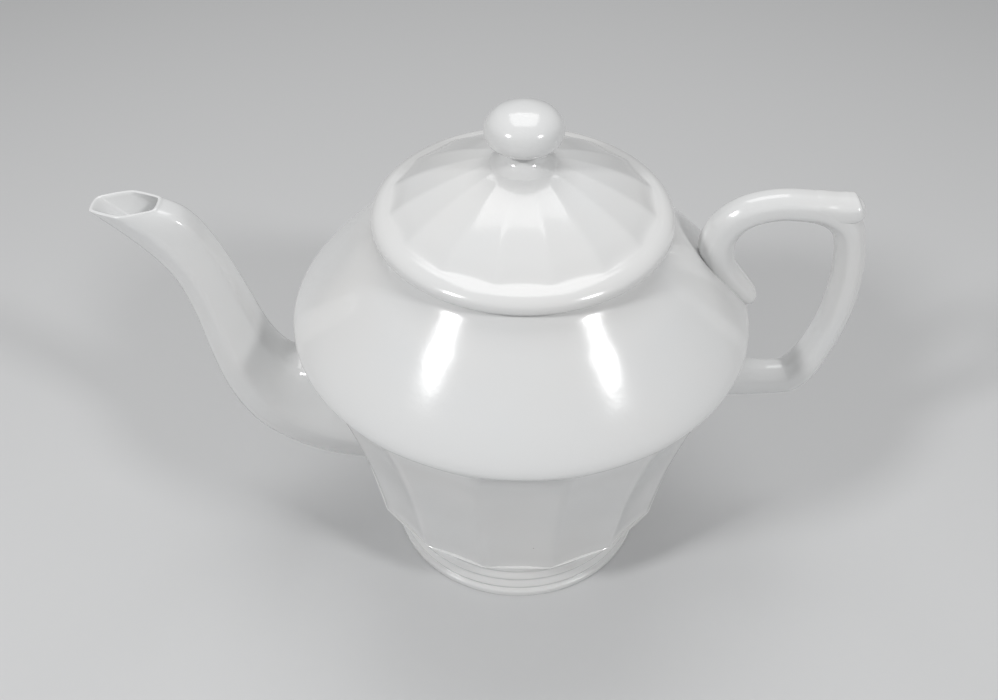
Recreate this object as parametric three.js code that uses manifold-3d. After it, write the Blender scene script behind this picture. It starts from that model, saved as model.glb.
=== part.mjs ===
// A lobed porcelain teapot: sixteen panelled lower walls under a round shoulder, a ringed foot,
// a faceted swan-neck spout, a scroll handle and a panelled lid with a button knob.
// Millimetres, +Z up, spout towards -X. One flat panel faces -Y.
import * as THREE from 'three';
import { mergeVertices } from 'three/addons/utils/BufferGeometryUtils.js';
import Module from 'manifold-3d';

// Driving dimensions
const PANELS = 16;
const STEPS_PER_PANEL = 3;
const GAP = 0.3;
const FOOT_RADIUS = 40;
const FOOT_TOP_RADIUS = 37.6;
const FOOT_INNER_RADIUS = 31;
const FOOT_HEIGHT = 21.7;
const FOOT_RIDGES = 3;
const FOOT_RIDGE_DEPTH = 0.7;
const LOWER_EDGE_RADIUS = 47;
const LOWER_WALL_HEIGHT = 53.5;
const CREASE_RADIUS = 58.8;
const SHOULDER_RADIUS = 61.8;
const SHOULDER_HEIGHT = 31.3;
const WALL = 3.5;
const FLOOR = 4;
const NECK_RADIUS = 36.8;
const MOUTH_RADIUS = 32.5;
const LID_RADIUS = 38.4;
const LID_RISE = 14.5;
const LID_WALL = 4;
const FLANGE_CLEARANCE = 1;
const FLANGE_WALL = 4;
const FLANGE_DEPTH = 8.8;
const VENT_RADIUS = 1.6;
const VENT_PLACE = 19;
const KNOB_RADIUS = 9.7;
const KNOB_HEIGHT = 17.3;
const KNOB_FOOT_RADIUS = 8.6;
const SPOUT_WALL = 2.5;
const SPOUT_REACH = 110.2;
const STRAINER_HOLE_RADIUS = 2;
const STRAINER_SPREAD = 8;
const STRAINER_HEIGHT = 46;
const HANDLE_REACH = 91.2;
const HANDLE_SIDES = 10;
const SPOUT_SIDES = 12;

// Levels that stack from the foot up
const BODY_BASE = FOOT_HEIGHT + GAP;
const LOWER_EDGE = BODY_BASE + 3.6;
const CREASE = LOWER_EDGE + LOWER_WALL_HEIGHT;
const RIM = CREASE + SHOULDER_HEIGHT + 3.4;
const LID_SEAT = RIM + GAP;
const LID_TOP = LID_SEAT + LID_RISE;
const KNOB_BASE = LID_TOP + GAP;
const CENTRE_SHIFT = (SPOUT_REACH - HANDLE_REACH) / 2;

const wasm = await Module();
wasm.setup();

function glaze(color, roughness) {
  return new THREE.MeshStandardMaterial({ color, roughness, metalness: 0 });
}

// Rings of points joined into a closed skin; a loop of rings closes on itself, a run is capped.
function skin(rings, loop) {
  const count = rings[0].length;
  const points = rings.flat();
  const faces = [];
  const last = loop ? rings.length : rings.length - 1;
  for (let i = 0; i < last; i++) {
    const next = (i + 1) % rings.length;
    for (let j = 0; j < count; j++) {
      const a = i * count + j;
      const b = i * count + (j + 1) % count;
      const c = next * count + j;
      const d = next * count + (j + 1) % count;
      faces.push(a, b, d, a, d, c);
    }
  }
  if (!loop) {
    const end = (rings.length - 1) * count;
    for (let j = 1; j < count - 1; j++) {
      faces.push(0, j + 1, j);
      faces.push(end, end + j, end + j + 1);
    }
  }
  const geometry = new THREE.BufferGeometry();
  geometry.setAttribute('position', new THREE.Float32BufferAttribute(points.flat(), 3));
  geometry.setIndex(faces);
  return geometry;
}

// How far in the flat of a panel lies from its corners, at an angle round the pot.
function panelScale(angle) {
  const pitch = 2 * Math.PI / PANELS;
  const fromMiddle = angle - Math.round(angle / pitch) * pitch;
  return Math.cos(pitch / 2) / Math.cos(fromMiddle);
}

// A ring of the pot at a radius and height; flat is 0 for a circle and 1 for flat panels.
function potRing([radius, height, flat = 0]) {
  const count = PANELS * STEPS_PER_PANEL;
  const ring = [];
  for (let i = 0; i < count; i++) {
    const turn = (i / STEPS_PER_PANEL + 0.5) * 2 * Math.PI / PANELS;
    const r = radius * (1 + flat * (panelScale(turn) - 1));
    const angle = turn - Math.PI / 2;
    ring.push([r * Math.cos(angle), r * Math.sin(angle), height]);
  }
  return ring;
}

// A closed wall turned round the pot's axis, open along it.
function turnedWall(profile) {
  return skin(profile.map(potRing), true);
}

// A solid turned round the axis, with flat ends.
function turnedSolid(profile) {
  return skin(profile.map(potRing), false);
}

function solidOf(geometry) {
  const source = geometry.clone();
  source.deleteAttribute('normal');
  source.deleteAttribute('uv');
  const merged = mergeVertices(source, 1e-4);
  return new wasm.Manifold(new wasm.Mesh({
    numProp: 3,
    vertProperties: new Float32Array(merged.attributes.position.array),
    triVerts: new Uint32Array(merged.index.array),
  }));
}

function geometryOf(solid) {
  const mesh = solid.getMesh();
  const geometry = new THREE.BufferGeometry();
  geometry.setAttribute('position', new THREE.BufferAttribute(new Float32Array(mesh.vertProperties), 3));
  geometry.setIndex(new THREE.BufferAttribute(new Uint32Array(mesh.triVerts), 1));
  return geometry;
}

function part(name, geometry, material) {
  geometry.computeVertexNormals();
  const mesh = new THREE.Mesh(geometry, material);
  mesh.name = name;
  return mesh;
}

// The pot's outside from the crease up to the rim, grown by a margin.
function shoulderProfile(margin) {
  const drop = SHOULDER_RADIUS - NECK_RADIUS;
  const profile = [[SHOULDER_RADIUS - 1.3 + margin, CREASE + 0.8, 0.3], [SHOULDER_RADIUS + margin, CREASE + 2.9]];
  // Share of the way in to the neck, and share of the way up, from the widest point
  const curve = [[0.03, 0.08], [0.14, 0.2], [0.26, 0.33], [0.385, 0.46], [0.52, 0.6], [0.67, 0.73],
    [0.83, 0.84], [0.95, 0.93]];
  for (const [inward, upward] of curve) {
    profile.push([SHOULDER_RADIUS - drop * inward + margin, CREASE + 2.9 + SHOULDER_HEIGHT * upward]);
  }
  profile.push([NECK_RADIUS + margin, RIM + margin]);
  return profile;
}

// The panelled lower wall, a shallow ogee from the lower edge to the crease.
function lowerProfile(margin) {
  const spread = CREASE_RADIUS - LOWER_EDGE_RADIUS;
  const profile = [];
  for (const [share, out] of [[0, 0], [0.1, 0.055], [0.38, 0.26], [0.7, 0.6], [0.88, 0.84], [1, 1]]) {
    const height = LOWER_EDGE + LOWER_WALL_HEIGHT * share;
    profile.push([LOWER_EDGE_RADIUS + spread * out + margin, height, 1]);
  }
  return profile;
}

function potBody() {
  const outside = [[FOOT_TOP_RADIUS, BODY_BASE], ...lowerProfile(0), ...shoulderProfile(0)];
  const inside = [[MOUTH_RADIUS, RIM], [MOUTH_RADIUS, RIM - 4]];
  const upper = shoulderProfile(-WALL).slice(1, -2).reverse();
  inside.push(...upper.filter(([radius]) => radius > MOUTH_RADIUS + 0.5));
  for (const [radius, height, flat] of lowerProfile(-WALL).reverse()) {
    if (height > BODY_BASE + FLOOR + 3) inside.push([radius, height, flat]);
  }
  inside.push([LOWER_EDGE_RADIUS - WALL - 2, BODY_BASE + FLOOR + 1.5, 0.6]);
  inside.push([LOWER_EDGE_RADIUS - WALL - 6, BODY_BASE + FLOOR]);
  const shell = solidOf(turnedSolid(outside)).subtract(solidOf(turnedSolid([...inside].reverse().map(
    ([radius, height, flat]) => [radius, height === RIM ? RIM + 1 : height, flat]))));
  return geometryOf(shell.subtract(strainer()));
}

// Seven small holes through the wall behind the spout's root.
function strainer() {
  const length = 34;
  let holes = null;
  for (let i = 0; i < 7; i++) {
    const turn = i * Math.PI / 3;
    const spread = i === 6 ? 0 : STRAINER_SPREAD;
    const hole = new THREE.CylinderGeometry(STRAINER_HOLE_RADIUS, STRAINER_HOLE_RADIUS, length, 8);
    hole.rotateZ(Math.PI / 2);
    hole.translate(-LOWER_EDGE_RADIUS - 4, spread * Math.cos(turn), STRAINER_HEIGHT + spread * Math.sin(turn));
    const solid = solidOf(hole);
    holes = holes ? holes.add(solid) : solid;
  }
  return holes;
}

// The space that the pot fills, grown by the gap that its fittings keep.
function potEnvelope() {
  return solidOf(turnedSolid([[FOOT_RADIUS, BODY_BASE - 2], ...lowerProfile(GAP), ...shoulderProfile(GAP)]));
}

// Turned foot with reeded rings, flaring a little to the ground.
function footRing() {
  const profile = [[FOOT_RADIUS - 0.8, 0], [FOOT_RADIUS, 0.9]];
  const slope = (FOOT_RADIUS - FOOT_TOP_RADIUS) / FOOT_HEIGHT;
  const pitch = (FOOT_HEIGHT - 4) / FOOT_RIDGES;
  for (let i = 0; i < FOOT_RIDGES; i++) {
    const height = 2 + pitch * (i + 0.5);
    const radius = FOOT_RADIUS - slope * height;
    profile.push([radius, height - pitch * 0.3]);
    profile.push([radius - FOOT_RIDGE_DEPTH, height]);
    profile.push([radius, height + pitch * 0.3]);
  }
  profile.push([FOOT_TOP_RADIUS, FOOT_HEIGHT], [FOOT_INNER_RADIUS + 1.5, FOOT_HEIGHT], [FOOT_INNER_RADIUS, 3]);
  profile.push([FOOT_INNER_RADIUS + 1.2, 0]);
  return turnedWall(profile);
}

function lidShell() {
  const outside = [[NECK_RADIUS + 0.4, LID_SEAT], [LID_RADIUS, LID_SEAT + 1.2], [LID_RADIUS - 0.1, LID_SEAT + 2.6],
    [LID_RADIUS - 1.6, LID_SEAT + 4], [LID_RADIUS - 3.6, LID_SEAT + 4.9, 0.3]];
  const panelStart = LID_RADIUS - 4.8;
  for (const [share, up] of [[1, 0], [0.76, 0.45], [0.52, 0.79], [0.33, 0.95]]) {
    outside.push([panelStart * share, LID_SEAT + 5.2 + (LID_RISE - 5.2) * up, 1]);
  }
  outside.push([KNOB_FOOT_RADIUS + 0.6, LID_TOP]);
  const hollowRadius = MOUTH_RADIUS - FLANGE_CLEARANCE - FLANGE_WALL;
  const hollow = [[hollowRadius, LID_SEAT - 1], [hollowRadius, LID_SEAT + 1], [hollowRadius - 4, LID_SEAT + 5.5],
    [hollowRadius - 13, LID_TOP - LID_WALL - 1], [4, LID_TOP - LID_WALL]];
  const vent = new THREE.CylinderGeometry(VENT_RADIUS, VENT_RADIUS, LID_RISE * 2, 8);
  vent.rotateX(Math.PI / 2);
  vent.translate(0, VENT_PLACE, LID_TOP);
  const shell = solidOf(turnedSolid(outside)).subtract(solidOf(turnedSolid(hollow)));
  return geometryOf(shell.subtract(solidOf(vent)));
}

// The ring that drops inside the neck and keeps the lid in place.
function lidFlange() {
  const outer = MOUTH_RADIUS - FLANGE_CLEARANCE;
  const top = LID_SEAT - GAP;
  return turnedWall([[outer, top], [outer - FLANGE_WALL, top], [outer - FLANGE_WALL, top - FLANGE_DEPTH],
    [outer - 1, top - FLANGE_DEPTH], [outer, top - FLANGE_DEPTH + 1.5]]);
}

function knob() {
  const level = (share) => KNOB_BASE + KNOB_HEIGHT * share;
  const profile = [[0, level(0)], [KNOB_FOOT_RADIUS, level(0)], [KNOB_FOOT_RADIUS - 0.3, level(0.05)],
    [KNOB_RADIUS * 0.64, level(0.16)], [KNOB_RADIUS * 0.57, level(0.26)], [KNOB_RADIUS * 0.66, level(0.34)],
    [KNOB_RADIUS * 0.9, level(0.44)], [KNOB_RADIUS, level(0.6)], [KNOB_RADIUS * 0.92, level(0.77)],
    [KNOB_RADIUS * 0.66, level(0.91)], [KNOB_RADIUS * 0.3, level(0.99)], [0, level(1)]];
  const turned = new THREE.LatheGeometry(profile.map(([r, z]) => new THREE.Vector2(r, z)), 24);
  turned.rotateX(Math.PI / 2);
  turned.deleteAttribute('normal');
  turned.deleteAttribute('uv');
  return geometryOf(solidOf(turned));
}

// Stations along the spout: centre out from the axis, height, half depth, half width, climb in degrees.
const MOUTH_LEVEL = 117.5;
const SPOUT_STATIONS = [
  [44, 46, 22, 17, 0],
  [56, 46, 21.5, 16, 2],
  [63, 47.5, 20, 13.8, 10],
  [71.5, 52.5, 15.5, 11.6, 36],
  [77, 61.5, 11.6, 9.8, 60],
  [80.3, 73, 9.3, 8.7, 78],
  [82.4, 86, 8.1, 8, 82],
  [85.2, 97, 7.8, 7.5, 74],
  [89, 105.5, 8.4, 7.1, 63],
  [94.2, 112, 9.3, 6.7, 74],
  [SPOUT_REACH - 10, MOUTH_LEVEL, 10, 6.4, 90],
];

// A six-sided section with a ridge along each side, softened between the ridges.
function spoutRing([out, height, depth, width, climb], inset) {
  const angle = THREE.MathUtils.degToRad(climb);
  const ring = [];
  for (let i = 0; i < SPOUT_SIDES; i++) {
    const turn = i * 2 * Math.PI / SPOUT_SIDES;
    const fromRidge = turn - Math.PI / 2;
    const pitch = Math.PI / 3;
    const offRidge = fromRidge - Math.round(fromRidge / pitch - 0.5) * pitch - pitch / 2;
    const hexagon = Math.cos(pitch / 2) / Math.cos(offRidge);
    const scale = 1 + 0.75 * (hexagon - 1);
    const down = (depth - inset) * scale * Math.cos(turn);
    const side = -(width - inset) * scale * Math.sin(turn);
    ring.push([-out - down * Math.sin(angle), side, height - down * Math.cos(angle)]);
  }
  return ring;
}

function spout(envelope) {
  const outer = solidOf(skin(SPOUT_STATIONS.map((station) => spoutRing(station, 0)), false));
  const bore = SPOUT_STATIONS.map((station) => spoutRing(station, SPOUT_WALL));
  const mouth = SPOUT_STATIONS[SPOUT_STATIONS.length - 1];
  bore.push(spoutRing([mouth[0], mouth[1] + 2, ...mouth.slice(2)], SPOUT_WALL - 0.4));
  const start = SPOUT_STATIONS[0];
  bore.unshift(spoutRing([start[0] - 4, ...start.slice(1)], SPOUT_WALL));
  return geometryOf(outer.subtract(solidOf(skin(bore, false))).subtract(envelope));
}

// Stations of the scroll handle: out from the axis, height, radius. Its tongue follows the shoulder and its
// lower bar ends in the wall, while the limb stands at the handle's reach.
const LIMB = HANDLE_REACH - 4.4;
const HANDLE_STATIONS = [
  [SHOULDER_RADIUS - 0.2, 87.6, 1.6], [SHOULDER_RADIUS - 4.5, 92.5, 3.2], [SHOULDER_RADIUS - 9, 98.5, 4.3],
  [SHOULDER_RADIUS - 11.2, 105.5, 4.8], [SHOULDER_RADIUS - 9.8, 111.8, 4.6], [SHOULDER_RADIUS - 5.5, 116.2, 4.3],
  [LIMB - 24, 118.4, 4.2], [LIMB - 17, 118.7, 4.2],
  [LIMB - 10.5, 117.4, 4.3], [LIMB - 5.2, 113.6, 4.3], [LIMB - 2.2, 107, 4.1], [LIMB - 0.5, 98, 4.2],
  [LIMB, 88, 4.4], [LIMB - 0.7, 78, 4.5], [LIMB - 2.6, 68, 4.7], [LIMB - 6.5, 61, 5.3],
  [LIMB - 13, 57.8, 5.9], [LIMB - 23, 57.3, 6.3], [LOWER_EDGE_RADIUS + 1.8, 57.3, 6.5],
];

function handle(envelope) {
  const path = new THREE.CatmullRomCurve3(HANDLE_STATIONS.map(([x, z]) => new THREE.Vector3(x, 0, z)));
  const steps = (HANDLE_STATIONS.length - 1) * 2;
  const rings = [];
  for (let i = 0; i <= steps; i++) {
    const t = i / steps;
    const centre = path.getPoint(t);
    const along = path.getTangent(t);
    const station = Math.min(t * (HANDLE_STATIONS.length - 1), HANDLE_STATIONS.length - 1.001);
    const low = Math.floor(station);
    const radius = THREE.MathUtils.lerp(HANDLE_STATIONS[low][2], HANDLE_STATIONS[low + 1][2], station - low);
    const ring = [];
    for (let j = 0; j < HANDLE_SIDES; j++) {
      const turn = j * 2 * Math.PI / HANDLE_SIDES;
      const across = radius * Math.cos(turn);
      ring.push([centre.x - along.z * across, -radius * Math.sin(turn), centre.z + along.x * across]);
    }
    rings.push(ring);
  }
  const bar = solidOf(skin(rings, false));
  const rest = new THREE.SphereGeometry(1, 12, 8);
  rest.scale(5.2, 4, 4.2);
  rest.translate(LIMB - 6.6, 0, 118.4);
  return geometryOf(bar.add(solidOf(rest)).subtract(envelope));
}

const porcelain = 0xdcdfe0;
const envelope = potEnvelope();
const pot = new THREE.Group();
pot.add(part('pot_body', potBody(), glaze(porcelain, 0.12)));
pot.add(part('foot_ring', footRing(), glaze(porcelain, 0.14)));
pot.add(part('spout', spout(envelope), glaze(porcelain, 0.12)));
pot.add(part('handle', handle(envelope), glaze(porcelain, 0.12)));
const lid = new THREE.Group();
lid.add(part('lid_shell', lidShell(), glaze(porcelain, 0.12)));
lid.add(part('lid_flange', lidFlange(), glaze(0xd8d6d0, 0.3)));
lid.add(part('lid_knob', knob(), glaze(porcelain, 0.12)));
const teapot = new THREE.Group();
teapot.add(pot);
teapot.add(lid);
teapot.position.x = CENTRE_SHIFT;

export default teapot;
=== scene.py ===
"""Lobed porcelain teapot: a glazed skin for each piece, a pale stage and soft studio light."""
import math

import bpy
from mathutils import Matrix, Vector


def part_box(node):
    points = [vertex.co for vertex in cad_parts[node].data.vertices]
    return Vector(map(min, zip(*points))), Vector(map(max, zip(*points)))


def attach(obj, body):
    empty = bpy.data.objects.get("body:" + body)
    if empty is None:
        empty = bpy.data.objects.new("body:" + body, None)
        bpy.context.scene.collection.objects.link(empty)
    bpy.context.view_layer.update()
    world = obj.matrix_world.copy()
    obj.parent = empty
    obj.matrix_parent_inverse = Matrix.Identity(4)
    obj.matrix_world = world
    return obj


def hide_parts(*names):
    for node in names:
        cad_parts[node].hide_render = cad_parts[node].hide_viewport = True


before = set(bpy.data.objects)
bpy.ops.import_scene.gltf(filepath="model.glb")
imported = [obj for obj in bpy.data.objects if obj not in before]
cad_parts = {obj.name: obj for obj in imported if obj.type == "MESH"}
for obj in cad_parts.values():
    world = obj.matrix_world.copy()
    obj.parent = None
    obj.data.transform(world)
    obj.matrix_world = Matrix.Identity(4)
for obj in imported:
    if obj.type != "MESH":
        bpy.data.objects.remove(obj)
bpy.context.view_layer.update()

bl_info = {
    "name": "Lobed Porcelain Teapot",
    "version": (1, 0, 0),
    "blender": (4, 5, 0),
    "location": "View3D > Sidebar > Teapot",
    "description": "Dresses a lobed white porcelain teapot and its plain studio",
    "category": "Object",
}

MM = 0.001

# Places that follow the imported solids, in metres
FOOT_LOW, FOOT_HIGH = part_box("foot_ring")
FLANGE_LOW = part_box("lid_flange")[0]
KNOB_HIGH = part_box("lid_knob")[1]
AXIS_X = (FOOT_LOW[0] + FOOT_HIGH[0]) / 2

# Down to the glaze, lengths are in millimetres, out from the pot's axis and up from the table.
# Points of an outline that are closer than SAME_POINT are one point
SAME_POINT = 0.02
SHARP_EDGE_DEGREES = 50

# The sixteen panels of the wall and the lid. More crispness makes sharper corners, and a hollow of 1
# makes flat faces, with hollow ones above it
PANELS = 16
STEPS_PER_PANEL = 12
PANEL_CRISPNESS = 300
PANEL_HOLLOW = 1.7
LID_PANEL_HOLLOW = 1.35

# The foot and its reeds
FOOT_RADIUS = 39.3
FOOT_TAPER = 0.1
FOOT_TOP = 21.7
FOOT_TOP_RADIUS = 37.2
RECESS_RADIUS = 31
REEDS = 4
REED_PITCH = 3.7
REED_HEIGHT = 0.36
REEDS_START = 2.9
STEPS_PER_REED = 4

# The pot's body. A round plate closes its floor inside FLOOR_JOINT and laps over by FLOOR_LAP
UNDERSIDE = FOOT_TOP + 0.05
FLOOR_TOP = 26
FLOOR_JOINT = 30
FLOOR_LAP = 1
WALL = 3.5
LOWER_EDGE = 25.6
LOWER_EDGE_RADIUS = 47
WALL_FLARE = 12.2
CREASE = 82.2
WIDEST = 85.6
SHOULDER_RADIUS = 61.6
NECK_RADIUS = 36.8
MOUTH_RADIUS = 32.5
RIM = 113.8
# Shares of the wall's height and of its flare
WALL_CURVE = [(0, 0), (0.1, 0.055), (0.38, 0.26), (0.7, 0.6), (0.88, 0.84), (0.985, 0.98)]
# Shares of the way in from the shoulder to the neck, and of the way up from the widest place to the rim
SHOULDER_CURVE = [
    (0, 0), (0.02, 0.06), (0.1, 0.155), (0.22, 0.275), (0.36, 0.405),
    (0.51, 0.54), (0.67, 0.68), (0.83, 0.81), (0.95, 0.91), (1, 1),
]

# The spout's stations: out from the axis, height, half depth, half width, climb in degrees
SPOUT = [
    (45.3, 45.6, 21.6, 16.8, -11), (53, 46.4, 20.9, 15.9, -3), (59, 47, 19.8, 14.4, 6),
    (64.5, 48.6, 18.4, 13, 15), (71, 52.6, 15.5, 11.6, 34), (76.2, 60.4, 11.9, 10, 58),
    (79.6, 71, 9.5, 8.8, 76), (82.0, 84, 8.2, 8.0, 81), (84.9, 96, 7.7, 7.4, 75),
    (88.8, 105, 8.2, 7.0, 65), (93.8, 111.8, 9.1, 6.6, 74), (100.2, 117.2, 9.8, 6.3, 90),
]
SPOUT_WALL = 2.3
LIP_WALL = 1.2
WALL_GROWTH_PER_RING = 0.12
# How far each ring of the lip stands above the mouth, and how far in
LIP_RINGS = [(0.25, 0.25), (0.3, 0.7), (0.1, LIP_WALL - 0.1)]

# Stations of the handle and of its thumb rest: out from the axis, height, half thickness, half width
HANDLE = [
    (62.7, 87.0, 1.4, 1.8), (61.3, 88.9, 2.9, 3.1), (57.6, 92.8, 3.7, 3.8), (52.8, 98.5, 4.3, 4.2),
    (50.5, 105.5, 4.8, 4.6), (51.8, 111.6, 4.6, 4.6), (56.2, 116.1, 4.3, 4.6), (62.8, 118.3, 4.1, 4.6),
    (69.8, 118.4, 4.1, 4.6), (76.4, 117.2, 4.2, 4.6), (81.8, 113.4, 4.2, 4.5), (84.6, 107, 4.0, 4.4),
    (86.3, 98, 4.1, 4.4), (86.8, 88, 4.3, 4.5), (86.0, 78, 4.4, 4.6), (83.9, 68.5, 4.6, 4.8),
    (81.6, 62.2, 5.2, 5.1), (78.3, 58.3, 5.6, 5.2), (72.5, 57.4, 5.4, 5.3), (64, 57.3, 5.8, 5.7),
    (51, 57.3, 6.4, 6.3),
]
THUMB_REST = [
    (67, 118.3, 3.2, 4.2), (73, 118.3, 4.0, 4.5), (78, 117.6, 4.3, 4.6), (81.5, 117.6, 4.3, 4.7),
    (83.9, 118.3, 3.6, 4.2), (84.9, 118.8, 1.8, 2.4), (85.3, 119.0, 0.4, 0.6),
]

# The lid, its flange and its knob
LID_SEAT = 114.05
LID_TOP = 131.0
DOME_BASE = LID_SEAT + 5.2
DOME_RADIUS = 33.6
KNOB_HOLE = 3
KNOB_RADIUS = 9.66
KNOB_SINK = 0.2
KNOB_BELOW_SOLID = 0.6
FLANGE_RADIUS = 31.4
FLANGE_BORE = 27.5
# The rounded band round the lid: radius, rise above the seat
LID_BAND = [
    (30, 0), (36.4, 0), (37.4, 0.15), (38.1, 0.9), (38.28, 1.9), (38.0, 2.9), (37.0, 3.9), (35.6, 4.6),
]
# Shares of the dome's radius and of its height
DOME_CURVE = [(0.98, 0.02), (0.88, 0.21), (0.76, 0.4), (0.64, 0.57), (0.52, 0.72), (0.41, 0.84), (0.33, 0.92)]
# Shares of the knob's radius and of its height
KNOB_CURVE = [
    (0.95, -0.03), (0.85, 0.0), (0.74, 0.05), (0.6, 0.13), (0.545, 0.21), (0.55, 0.27), (0.66, 0.315),
    (0.84, 0.37), (0.95, 0.45), (1.0, 0.56), (0.98, 0.67), (0.89, 0.785), (0.72, 0.885),
    (0.5, 0.95), (0.27, 0.988), (0.04, 0.999),
]

# The glaze: scales of its mottling per metre, and how strongly each one shows
PATCH_SCALE = 28.0
DRIFT_SCALE = 9.0
WAVE_SCALE = 45.0
GLAZE_GRAIN_SCALE = 900.0
PATCH_TINT = 0.9
DRIFT_TINT = 0.5
TINT_THRESHOLD = 0.25
PATCH_ROUGHNESS = 0.08
WAVE_HEIGHT = 0.75
GRAIN_HEIGHT = 0.05
SPECK_SCALE = 75.0
SPECK_SIZE = 0.028
SPECK_CHANCE = 0.07
SPECK_STRENGTH = 0.75
SPECK_COLOUR = (0.20, 0.17, 0.14)

# The bare clay of the flange
CLAY_GRAIN_SCALE = 700.0
CLAY_BLOTCH_SCALE = 60.0
CLAY_PALENESS = 1.08
CLAY_ROUGHNESS = 0.6
BLOTCH_ROUGHNESS = 0.15

# The stage, in metres, watts and radians, apart from the camera's sensor, which is in millimetres, and
# its focal length, which is in pixels of the photograph
FOCAL_PIXELS = 950
PHOTO_WIDTH_PIXELS = 998
SENSOR_WIDTH = 36
NEAREST_SEEN = 0.01
CAMERA_YAW = 0.0129
FLOOR_HALF = 3.0
FLOOR_GRAIN_SCALE = 300.0
FLOOR_GRAIN_STRENGTH = 0.2
FLOOR_GRAIN_COLOUR = (0.68, 0.68, 0.68)
FLOOR_ROUGHNESS = 0.8
WORLD_STRENGTH = 0.24
LAMP_AIM_HEIGHT = 0.08
# Each lamp's name, place from the pot's axis, power and width
LAMPS = [
    ("lamp_left", (-0.50, -0.38, 0.60), 2.6, 0.11),
    ("lamp_right", (0.52, -0.40, 0.60), 2.1, 0.11),
    ("lamp_above", (0.0, 0.25, 0.80), 2.0, 0.5),
]


class GlazeSettings(bpy.types.PropertyGroup):
    """The colours of the glaze and the bare clay, and the glaze's gloss."""

    body: bpy.props.FloatVectorProperty(
        name="Glaze colour", description="Colour of the glazed porcelain", subtype="COLOR", size=3,
        default=(0.76, 0.775, 0.785), min=0, max=1)
    warm: bpy.props.FloatVectorProperty(
        name="Warm patches", description="Colour of the faint warm patches in the glaze", subtype="COLOR",
        size=3, default=(0.775, 0.765, 0.75), min=0, max=1)
    bare: bpy.props.FloatVectorProperty(
        name="Bare clay", description="Colour of the unglazed lid flange", subtype="COLOR", size=3,
        default=(0.70, 0.67, 0.61), min=0, max=1)
    roughness: bpy.props.FloatProperty(
        name="Glaze roughness", description="How soft the highlights on the glaze are", default=0.16,
        min=0, max=1, subtype="FACTOR")


class StageSettings(bpy.types.PropertyGroup):
    """The camera's place and pitch, and the floor's colour."""

    camera_back: bpy.props.FloatProperty(
        name="Camera distance", description="How far the camera stands in front of the pot's axis",
        default=0.1966, unit="LENGTH")
    camera_height: bpy.props.FloatProperty(
        name="Camera height", description="How high the camera is above the floor", default=0.2578,
        unit="LENGTH")
    camera_side: bpy.props.FloatProperty(
        name="Camera offset", description="How far the camera is to the left of the pot's axis",
        default=0.0034, unit="LENGTH")
    pitch: bpy.props.FloatProperty(
        name="Camera pitch", description="How far the camera looks down", default=0.7704, unit="ROTATION")
    floor: bpy.props.FloatVectorProperty(
        name="Floor colour", description="Colour of the pale floor", subtype="COLOR", size=3,
        default=(0.64, 0.645, 0.65), min=0, max=1)


class Socket:
    """A node socket that takes part in Python expressions."""

    def __init__(self, tree, socket=None):
        self.tree = tree
        self.socket = socket

    def node(self, kind, settings=None, inputs=None, output=0):
        """Adds a node, sets its settings and then its inputs, and returns one of its outputs."""
        node = self.tree.nodes.new(kind)
        for key, value in (settings or {}).items():
            setattr(node, key, value)
        fill_inputs(self.tree, node, inputs or {})
        return Socket(self.tree, node.outputs[output])

    def maths(self, operation, first, second):
        return self.node("ShaderNodeMath", {"operation": operation}, {0: first, 1: second})

    def __add__(self, other):
        return self.maths("ADD", self, other)

    __radd__ = __add__

    def __mul__(self, other):
        return self.maths("MULTIPLY", self, other)

    __rmul__ = __mul__

    def __sub__(self, other):
        return self.maths("SUBTRACT", self, other)

    def __rsub__(self, other):
        return self.maths("SUBTRACT", other, self)

    def __lt__(self, other):
        return self.maths("LESS_THAN", self, other)

    def blend(self, first, second):
        """Mixes two colours by this mask."""
        return self.node("ShaderNodeMix", {"data_type": "RGBA"}, {0: self, 6: first, 7: second}, output=2)

    def noise(self, scale, detail=2.0):
        """Mottling over a surface whose places this socket gives."""
        return self.node("ShaderNodeTexNoise", None, {"Vector": self, "Scale": scale, "Detail": detail})


def fill_inputs(tree, node, inputs):
    """Links each named input of a node to a socket, or gives it a plain value."""
    for key, value in inputs.items():
        if isinstance(value, Socket):
            tree.links.new(value.socket, node.inputs[key])
        else:
            node.inputs[key].default_value = value


def rgba(colour):
    return (*colour, 1.0)


def new_material(name):
    """A new material, its node tree and the socket that gives places on the piece."""
    material = bpy.data.materials.new(name)
    material.use_nodes = True
    tree = material.node_tree
    place = Socket(tree).node("ShaderNodeTexCoord", output="Object")
    return material, tree, place


def set_finish(tree, inputs):
    """Gives a material's shader its colour, roughness and other inputs."""
    fill_inputs(tree, tree.nodes["Principled BSDF"], inputs)


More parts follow.
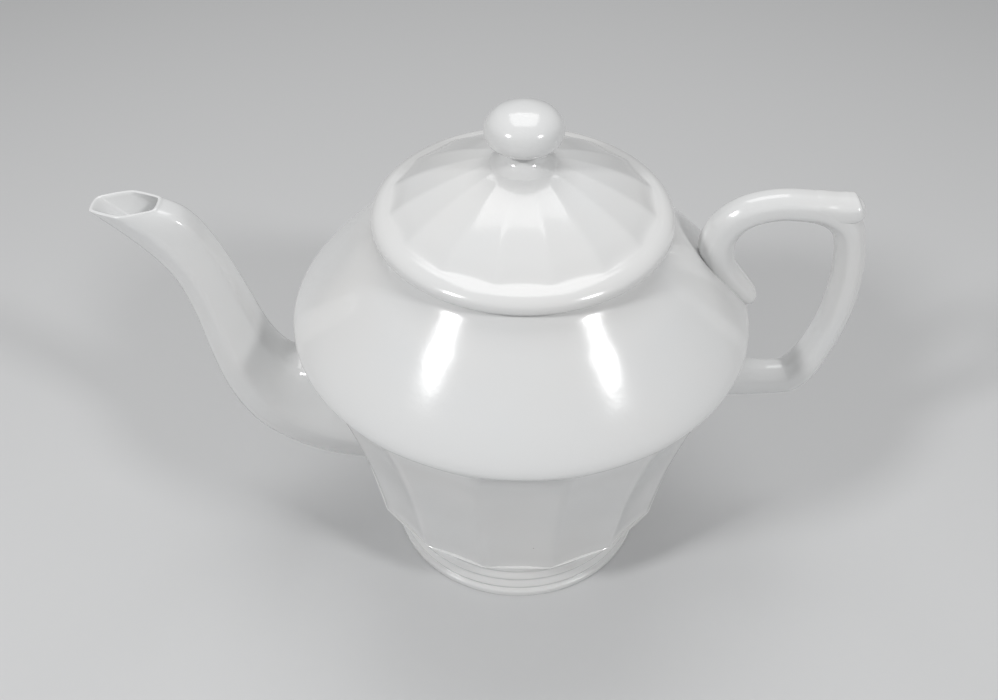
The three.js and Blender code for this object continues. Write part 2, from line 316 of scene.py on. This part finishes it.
def glaze_material(name, settings):
    """White glaze with faint warm patches, tiny dark specks and a slightly uneven surface."""
    material, tree, place = new_material(name)
    patches = place.noise(PATCH_SCALE, 3.0)
    drift = place.noise(DRIFT_SCALE)
    waves = place.noise(WAVE_SCALE)
    grain = place.noise(GLAZE_GRAIN_SCALE)
    cells = {"Vector": place, "Scale": SPECK_SCALE}
    distance = place.node("ShaderNodeTexVoronoi", None, cells)
    cell_colour = place.node("ShaderNodeTexVoronoi", None, cells, output="Color")
    chance = place.node("ShaderNodeSeparateColor", None, {"Color": cell_colour})
    speck = (distance < SPECK_SIZE) * (chance < SPECK_CHANCE)
    tint = (patches * PATCH_TINT + drift * DRIFT_TINT) - TINT_THRESHOLD
    colour = tint.blend(rgba(settings.body), rgba(settings.warm))
    height = waves * WAVE_HEIGHT + grain * GRAIN_HEIGHT
    bump = place.node("ShaderNodeBump", None, {"Height": height, "Strength": 0.16, "Distance": 0.0012})
    set_finish(tree, {
        "Base Color": (speck * SPECK_STRENGTH).blend(colour, rgba(SPECK_COLOUR)),
        "Roughness": settings.roughness + patches * PATCH_ROUGHNESS - PATCH_ROUGHNESS / 2,
        "Normal": bump,
        "IOR": 1.5,
        "Coat Weight": 0.35,
        "Coat Roughness": 0.06,
    })
    return material


def bare_material(settings):
    """Unglazed fired clay with a fine dry grain."""
    material, tree, place = new_material("bare_clay")
    grain = place.noise(CLAY_GRAIN_SCALE, 4.0)
    blotch = place.noise(CLAY_BLOTCH_SCALE, 3.0)
    pale = tuple(min(1.0, part * CLAY_PALENESS) for part in settings.bare)
    bump = place.node("ShaderNodeBump", None, {"Height": grain, "Strength": 0.3, "Distance": 0.0004})
    set_finish(tree, {
        "Base Color": (grain * 0.5 + blotch * 0.5).blend(rgba(settings.bare), rgba(pale)),
        "Roughness": blotch * BLOTCH_ROUGHNESS + CLAY_ROUGHNESS,
        "Normal": bump,
    })
    return material


def smooth_run(points, steps):
    """A smooth curve through points of any number of values."""
    ends = [points[0], *points, points[-1]]
    run = []
    for i in range(1, len(ends) - 2):
        for k in range(steps):
            t = k / steps
            values = []
            for a, b, c, d in zip(ends[i - 1], ends[i], ends[i + 1], ends[i + 2]):
                curve = 2 * b + (c - a) * t + (2 * a - 5 * b + 4 * c - d) * t * t
                values.append((curve + (3 * b - a - 3 * c + d) * t ** 3) / 2)
            run.append(tuple(values))
    run.append(tuple(points[-1]))
    return run


def facet_scale(turn, facets, crispness):
    """How far in a facet's face lies from its corners, with the corners slightly rounded."""
    total = 0.0
    for k in range(facets):
        facing = math.cos(turn - 2 * math.pi * k / facets)
        total += max(facing, 0.0) ** crispness
    return math.cos(math.pi / facets) / total ** (1 / crispness)


def faceted_section(sides, facets, crispness, flat):
    """A section of unit size with soft facets, as pairs of values across and sideways."""
    points = []
    for i in range(sides):
        turn = 2 * math.pi * i / sides
        scale = 1 + flat * (facet_scale(turn, facets, crispness) - 1)
        points.append((scale * math.cos(turn), scale * math.sin(turn)))
    return points


POT_SIDES = PANELS * STEPS_PER_PANEL
PANEL_SCALES = [facet_scale(2 * math.pi * i / POT_SIDES, PANELS, PANEL_CRISPNESS) for i in range(POT_SIDES)]
SPOUT_SECTION = faceted_section(sides=48, facets=6, crispness=26, flat=0.75)
HANDLE_SECTION = faceted_section(sides=40, facets=8, crispness=40, flat=0.7)


def pot_ring(radius, height, flat=0.0):
    """A ring round the pot's axis. It is round where flat is 0, and its panels are hollow over 1."""
    ring = []
    for i, scale in enumerate(PANEL_SCALES):
        angle = 2 * math.pi * i / POT_SIDES - math.pi / 2
        r = radius * (1 + flat * (scale - 1)) * MM
        ring.append((AXIS_X + r * math.cos(angle), r * math.sin(angle), height * MM))
    return ring


def tube_ring(out, height, thick, wide, along, section):
    """A ring round a tube's middle line, square to the direction in which the tube runs."""
    ring = []
    for across, sideways in section:
        x = out - along[1] * thick * across
        z = height + along[0] * thick * across
        ring.append((AXIS_X + x * MM, -wide * sideways * MM, z * MM))
    return ring


def skin_piece(name, rings, loop, material):
    """Joins rings of points into a smooth mesh, closed on itself or capped at its ends."""
    count = len(rings[0])
    points = [point for ring in rings for point in ring]
    faces = []
    for i in range(len(rings) if loop else len(rings) - 1):
        after = (i + 1) % len(rings)
        for j in range(count):
            k = (j + 1) % count
            faces.append((i * count + j, i * count + k, after * count + k, after * count + j))
    if not loop:
        faces.append(tuple(range(count - 1, -1, -1)))
        start = (len(rings) - 1) * count
        faces.append(tuple(range(start, start + count)))
    mesh = bpy.data.meshes.new(name)
    mesh.from_pydata(points, [], faces)
    mesh.validate()
    mesh.shade_smooth()
    mesh.set_sharp_from_angle(angle=math.radians(SHARP_EDGE_DEGREES))
    piece = bpy.data.objects.new(name, mesh)
    bpy.context.scene.collection.objects.link(piece)
    mesh.materials.append(material)
    return piece


def turned(name, runs, material, loop=True):
    """A wall turned round the pot's axis from pairs of an outline's points and its steps between them.

    A point is a radius, a height and, on a panelled stretch, how flat the panels are there.
    """
    profile = []
    for run, steps in runs:
        run = [(*point, 0.0) if len(point) == 2 else point for point in run]
        for point in smooth_run(run, steps):
            if not profile or math.dist(point[:2], profile[-1][:2]) > SAME_POINT:
                profile.append(point)
    return skin_piece(name, [pot_ring(*point) for point in profile], loop, material)


def stand_for(piece, node, body):
    """Hangs a piece on a body and hides the CAD node that it stands for."""
    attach(piece, body)
    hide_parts(node)


def wall_points(inset):
    """The panelled wall from its lower edge up to the crease."""
    rise = CREASE - LOWER_EDGE
    return [(LOWER_EDGE_RADIUS + WALL_FLARE * out - inset, LOWER_EDGE + rise * up, PANEL_HOLLOW)
            for up, out in WALL_CURVE]


def shoulder_points(inset):
    """The round shoulder from its widest place up to the neck."""
    narrowing = SHOULDER_RADIUS - NECK_RADIUS
    return [(SHOULDER_RADIUS - narrowing * inward - inset, WIDEST + (RIM - WIDEST) * up, 0.0)
            for inward, up in SHOULDER_CURVE]


def body_runs():
    """The body's outline: underside, wall, shoulder, rim, and back down through the chamber."""
    wall = wall_points(0)
    underside = [
        (FLOOR_JOINT, UNDERSIDE), (38, UNDERSIDE), (44.6, 23.7, 0.8), (46.4, 24.5, 1.0),
        (LOWER_EDGE_RADIUS + 0.05, LOWER_EDGE - 0.3, 1.0), wall[0],
    ]
    crease = [(59.4, CREASE - 0.1, 1.1), (60.2, CREASE + 0.6, 0.75), (61.1, CREASE + 1.8, 0.3)]
    neck = [(NECK_RADIUS + 0.1, RIM - 1.1), (NECK_RADIUS - 0.3, RIM - 0.2), (NECK_RADIUS - 1, RIM)]
    mouth = [
        (MOUTH_RADIUS + 0.7, RIM), (MOUTH_RADIUS + 0.1, RIM - 0.4),
        (MOUTH_RADIUS, RIM - 1), (MOUTH_RADIUS, RIM - 4),
    ]
    chamber = wall_points(WALL)[1:] + shoulder_points(WALL)[:-3]
    floor = [(41.5, FLOOR_TOP + 1.5, 0.6), (37.5, FLOOR_TOP), (FLOOR_JOINT, FLOOR_TOP)]
    return [
        (underside, 4),
        (wall, 8),
        ([wall[-1], *crease, *shoulder_points(0)[:-1], *neck], 6),
        (mouth, 3),
        (chamber[::-1], 4),
        (floor, 3),
    ]


class TEAPOT_OT_body(bpy.types.Operator):
    """Make the pot's panelled wall, round shoulder, neck and chamber"""

    bl_idname = "teapot.body"
    bl_label = "Pot body"

    def execute(self, context):
        glaze = glaze_material("body_glaze", context.scene.glaze_settings)
        body = turned("pot_body_glazed", body_runs(), glaze)
        plate = [(FLOOR_JOINT + FLOOR_LAP, UNDERSIDE + 0.15), (FLOOR_JOINT + FLOOR_LAP, FLOOR_TOP - 0.1)]
        floor_plate = turned("pot_floor", [(plate, 1)], glaze, loop=False)
        stand_for(body, "pot_body", "root")
        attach(floor_plate, "root")
        return {"FINISHED"}


def foot_runs():
    """The foot's outline: standing edge, reeds, top, and back down through the recess."""
    outside = [
        (FOOT_RADIUS - 0.1, 0), (FOOT_RADIUS + 0.45, 0.5),
        (FOOT_RADIUS + 0.55, 1.4), (FOOT_RADIUS + 0.4, 2.4),
    ]
    for i in range(REEDS * STEPS_PER_REED + 1):
        height = REEDS_START + REED_PITCH * i / STEPS_PER_REED
        swell = -REED_HEIGHT * math.cos(2 * math.pi * i / STEPS_PER_REED)
        outside.append((FOOT_RADIUS - FOOT_TAPER * height + swell, height))
    top = [
        (FOOT_TOP_RADIUS + 0.2, FOOT_TOP - 2.9), (FOOT_TOP_RADIUS - 0.3, FOOT_TOP - 1.2),
        (FOOT_TOP_RADIUS, FOOT_TOP),
    ]
    recess = [
        (RECESS_RADIUS + 1.5, FOOT_TOP), (RECESS_RADIUS + 0.2, FOOT_TOP - 1.7), (RECESS_RADIUS, 4),
        (RECESS_RADIUS + 0.8, 0.7), (RECESS_RADIUS + 1.6, 0),
    ]
    return [(outside, 4), (top, 3), (recess, 3)]


class TEAPOT_OT_foot(bpy.types.Operator):
    """Make the reeded foot ring"""

    bl_idname = "teapot.foot"
    bl_label = "Foot ring"

    def execute(self, context):
        glaze = glaze_material("foot_glaze", context.scene.glaze_settings)
        foot = turned("foot_ring_glazed", foot_runs(), glaze)
        stand_for(foot, "foot_ring", "root")
        return {"FINISHED"}


def spout_ring(station, inset):
    """A six-sided section of the spout at a station, drawn in by a wall's thickness."""
    out, height, depth, width, climb = station
    angle = math.radians(climb)
    along = (-math.cos(angle), math.sin(angle))
    return tube_ring(-out, height, depth - inset, width - inset, along, SPOUT_SECTION)


class TEAPOT_OT_spout(bpy.types.Operator):
    """Make the hollow swan-neck spout"""

    bl_idname = "teapot.spout"
    bl_label = "Spout"

    def execute(self, context):
        glaze = glaze_material("spout_glaze", context.scene.glaze_settings)
        stations = smooth_run(SPOUT, steps=7)
        rings = [spout_ring(station, 0) for station in stations]
        out, height, *section = stations[-1]
        for rise, inset in LIP_RINGS:
            rings.append(spout_ring((out, height + rise, *section), inset))
        for i, station in enumerate(reversed(stations[:-1])):
            rings.append(spout_ring(station, min(SPOUT_WALL, LIP_WALL + WALL_GROWTH_PER_RING * i)))
        spout = skin_piece("spout_glazed", rings, loop=True, material=glaze)
        stand_for(spout, "spout", "root")
        return {"FINISHED"}


def handle_sweep(name, stations, material):
    """A solid bar with eight soft facets along the handle's stations."""
    rings = []
    for i, (out, height, thick, wide) in enumerate(stations):
        before = stations[max(i - 1, 0)]
        after = stations[min(i + 1, len(stations) - 1)]
        along = Vector((after[0] - before[0], after[1] - before[1])).normalized()
        rings.append(tube_ring(out, height, thick, wide, along, HANDLE_SECTION))
    return skin_piece(name, rings, loop=False, material=material)


class TEAPOT_OT_handle(bpy.types.Operator):
    """Make the scroll handle with its thumb rest"""

    bl_idname = "teapot.handle"
    bl_label = "Handle"

    def execute(self, context):
        glaze = glaze_material("handle_glaze", context.scene.glaze_settings)
        handle = handle_sweep("handle_glazed", smooth_run(HANDLE, steps=8), glaze)
        thumb = handle_sweep("handle_thumb_rest", smooth_run(THUMB_REST, steps=6), glaze)
        stand_for(handle, "handle", "root")
        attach(thumb, "root")
        return {"FINISHED"}


def lid_runs():
    """The lid's outline: the band, the panelled dome up to the knob's hole, and the hollow."""
    band = [(radius, LID_SEAT + rise) for radius, rise in LID_BAND]
    dome = [(DOME_RADIUS + 0.5, DOME_BASE - 0.25, 0.2)]
    for share, up in DOME_CURVE:
        dome.append((DOME_RADIUS * share, DOME_BASE + (LID_TOP - DOME_BASE) * up, LID_PANEL_HOLLOW))
    middle = [(8.5, LID_TOP - 0.3, 0.8), (6, LID_TOP), (KNOB_HOLE, LID_TOP)]
    hollow = [
        (KNOB_HOLE, LID_TOP - 4), (14.5, LID_TOP - 5), (23.5, LID_SEAT + 5.5),
        (FLANGE_BORE - 0.1, LID_SEAT + 1), (FLANGE_BORE, LID_SEAT),
    ]
    return [([*band, *dome, *middle], 6), (hollow, 4)]


def knob_points():
    """The knob's outline from its flared base to its top, which stays just under the solid's."""
    base = LID_TOP - KNOB_SINK
    tall = KNOB_HIGH[2] / MM - KNOB_BELOW_SOLID - base
    return [(KNOB_RADIUS * out, base + tall * up) for out, up in KNOB_CURVE]


def flange_points():
    """The flange's outline: down its outside from the lid, across its lower edge and up its bore."""
    low = FLANGE_LOW[2] / MM
    return [
        (FLANGE_RADIUS, LID_SEAT), (FLANGE_RADIUS, low + 1.4), (FLANGE_RADIUS - 0.7, low + 0.2),
        (29.8, low), (28.4, low), (FLANGE_BORE + 0.1, low + 0.8), (FLANGE_BORE, LID_SEAT),
    ]


class TEAPOT_OT_lid(bpy.types.Operator):
    """Make the panelled lid, its flange and its knob"""

    bl_idname = "teapot.lid"
    bl_label = "Lid"

    def execute(self, context):
        settings = context.scene.glaze_settings
        glaze = glaze_material("lid_glaze", settings)
        lid = turned("lid_glazed", lid_runs(), glaze)
        stand_for(lid, "lid_shell", "lid")
        knob = turned("lid_knob_glazed", [(knob_points(), 5)], glaze, loop=False)
        stand_for(knob, "lid_knob", "lid")
        flange_runs = [([point], 1) for point in flange_points()]
        flange = turned("lid_flange_bare", flange_runs, bare_material(settings))
        stand_for(flange, "lid_flange", "lid")
        return {"FINISHED"}


def add_camera(scene, settings):
    lens = bpy.data.cameras.new("view")
    lens.sensor_fit = "HORIZONTAL"
    lens.sensor_width = SENSOR_WIDTH
    lens.lens = SENSOR_WIDTH * FOCAL_PIXELS / PHOTO_WIDTH_PIXELS
    lens.clip_start = NEAREST_SEEN
    camera = bpy.data.objects.new("view", lens)
    camera.location = (AXIS_X - settings.camera_side, -settings.camera_back, settings.camera_height)
    camera.rotation_euler = (math.pi / 2 - settings.pitch, 0, CAMERA_YAW)
    scene.collection.objects.link(camera)
    scene.camera = camera


def add_floor(scene, settings):
    """A pale paper floor with a faint grain, which fills the picture from the photo's side."""
    half = FLOOR_HALF
    mesh = bpy.data.meshes.new("floor")
    corners = [(-half, -half, 0), (half, -half, 0), (half, half, 0), (-half, half, 0)]
    mesh.from_pydata(corners, [], [(0, 1, 2, 3)])
    floor = bpy.data.objects.new("floor", mesh)
    scene.collection.objects.link(floor)
    material, tree, place = new_material("floor_paper")
    grain = place.noise(FLOOR_GRAIN_SCALE) * FLOOR_GRAIN_STRENGTH
    set_finish(tree, {
        "Base Color": grain.blend(rgba(settings.floor), rgba(FLOOR_GRAIN_COLOUR)),
        "Roughness": FLOOR_ROUGHNESS,
    })
    mesh.materials.append(material)


def add_world(scene):
    world = bpy.data.worlds.new("studio")
    scene.world = world
    world.use_nodes = True
    fill_inputs(world.node_tree, world.node_tree.nodes["Background"], {
        "Color": (1, 1, 1, 1),
        "Strength": WORLD_STRENGTH,
    })


def add_lamp(scene, name, place, power, size):
    """A square lamp that shines on the middle of the pot."""
    light = bpy.data.lights.new(name, "AREA")
    light.energy = power
    light.size = size
    lamp = bpy.data.objects.new(name, light)
    lamp.location = (AXIS_X + place[0], place[1], place[2])
    aim = Vector((AXIS_X, 0, LAMP_AIM_HEIGHT)) - lamp.location
    lamp.rotation_euler = aim.to_track_quat("-Z", "Y").to_euler()
    scene.collection.objects.link(lamp)


class TEAPOT_OT_stage(bpy.types.Operator):
    """Set the camera, the soft lamps, the world and the pale floor"""

    bl_idname = "teapot.stage"
    bl_label = "Stage"

    def execute(self, context):
        scene = context.scene
        add_camera(scene, scene.stage_settings)
        add_floor(scene, scene.stage_settings)
        add_world(scene)
        for lamp in LAMPS:
            add_lamp(scene, *lamp)
        scene.view_settings.view_transform = "Standard"
        return {"FINISHED"}


class TEAPOT_PT_panel(bpy.types.Panel):
    """The teapot's settings and pieces"""

    bl_idname = "TEAPOT_PT_panel"
    bl_label = "Teapot"
    bl_space_type = "VIEW_3D"
    bl_region_type = "UI"
    bl_category = "Teapot"

    def draw(self, context):
        for name in ("body", "warm", "bare", "roughness"):
            self.layout.prop(context.scene.glaze_settings, name)
        for name in ("camera_back", "camera_height", "camera_side", "pitch", "floor"):
            self.layout.prop(context.scene.stage_settings, name)
        for operator in OPERATORS:
            self.layout.operator(operator.bl_idname)


OPERATORS = (
    TEAPOT_OT_stage, TEAPOT_OT_body, TEAPOT_OT_foot, TEAPOT_OT_spout, TEAPOT_OT_handle, TEAPOT_OT_lid,
)
CLASSES = (GlazeSettings, StageSettings, *OPERATORS, TEAPOT_PT_panel)


def register():
    for item in CLASSES:
        bpy.utils.register_class(item)
    bpy.types.Scene.glaze_settings = bpy.props.PointerProperty(type=GlazeSettings)
    bpy.types.Scene.stage_settings = bpy.props.PointerProperty(type=StageSettings)


def unregister():
    del bpy.types.Scene.stage_settings
    del bpy.types.Scene.glaze_settings
    for item in reversed(CLASSES):
        bpy.utils.unregister_class(item)


def main():
    register()
    for name in ("stage", "body", "foot", "spout", "handle", "lid"):
        getattr(bpy.ops.teapot, name)()


if __name__ == "__main__":
    main()
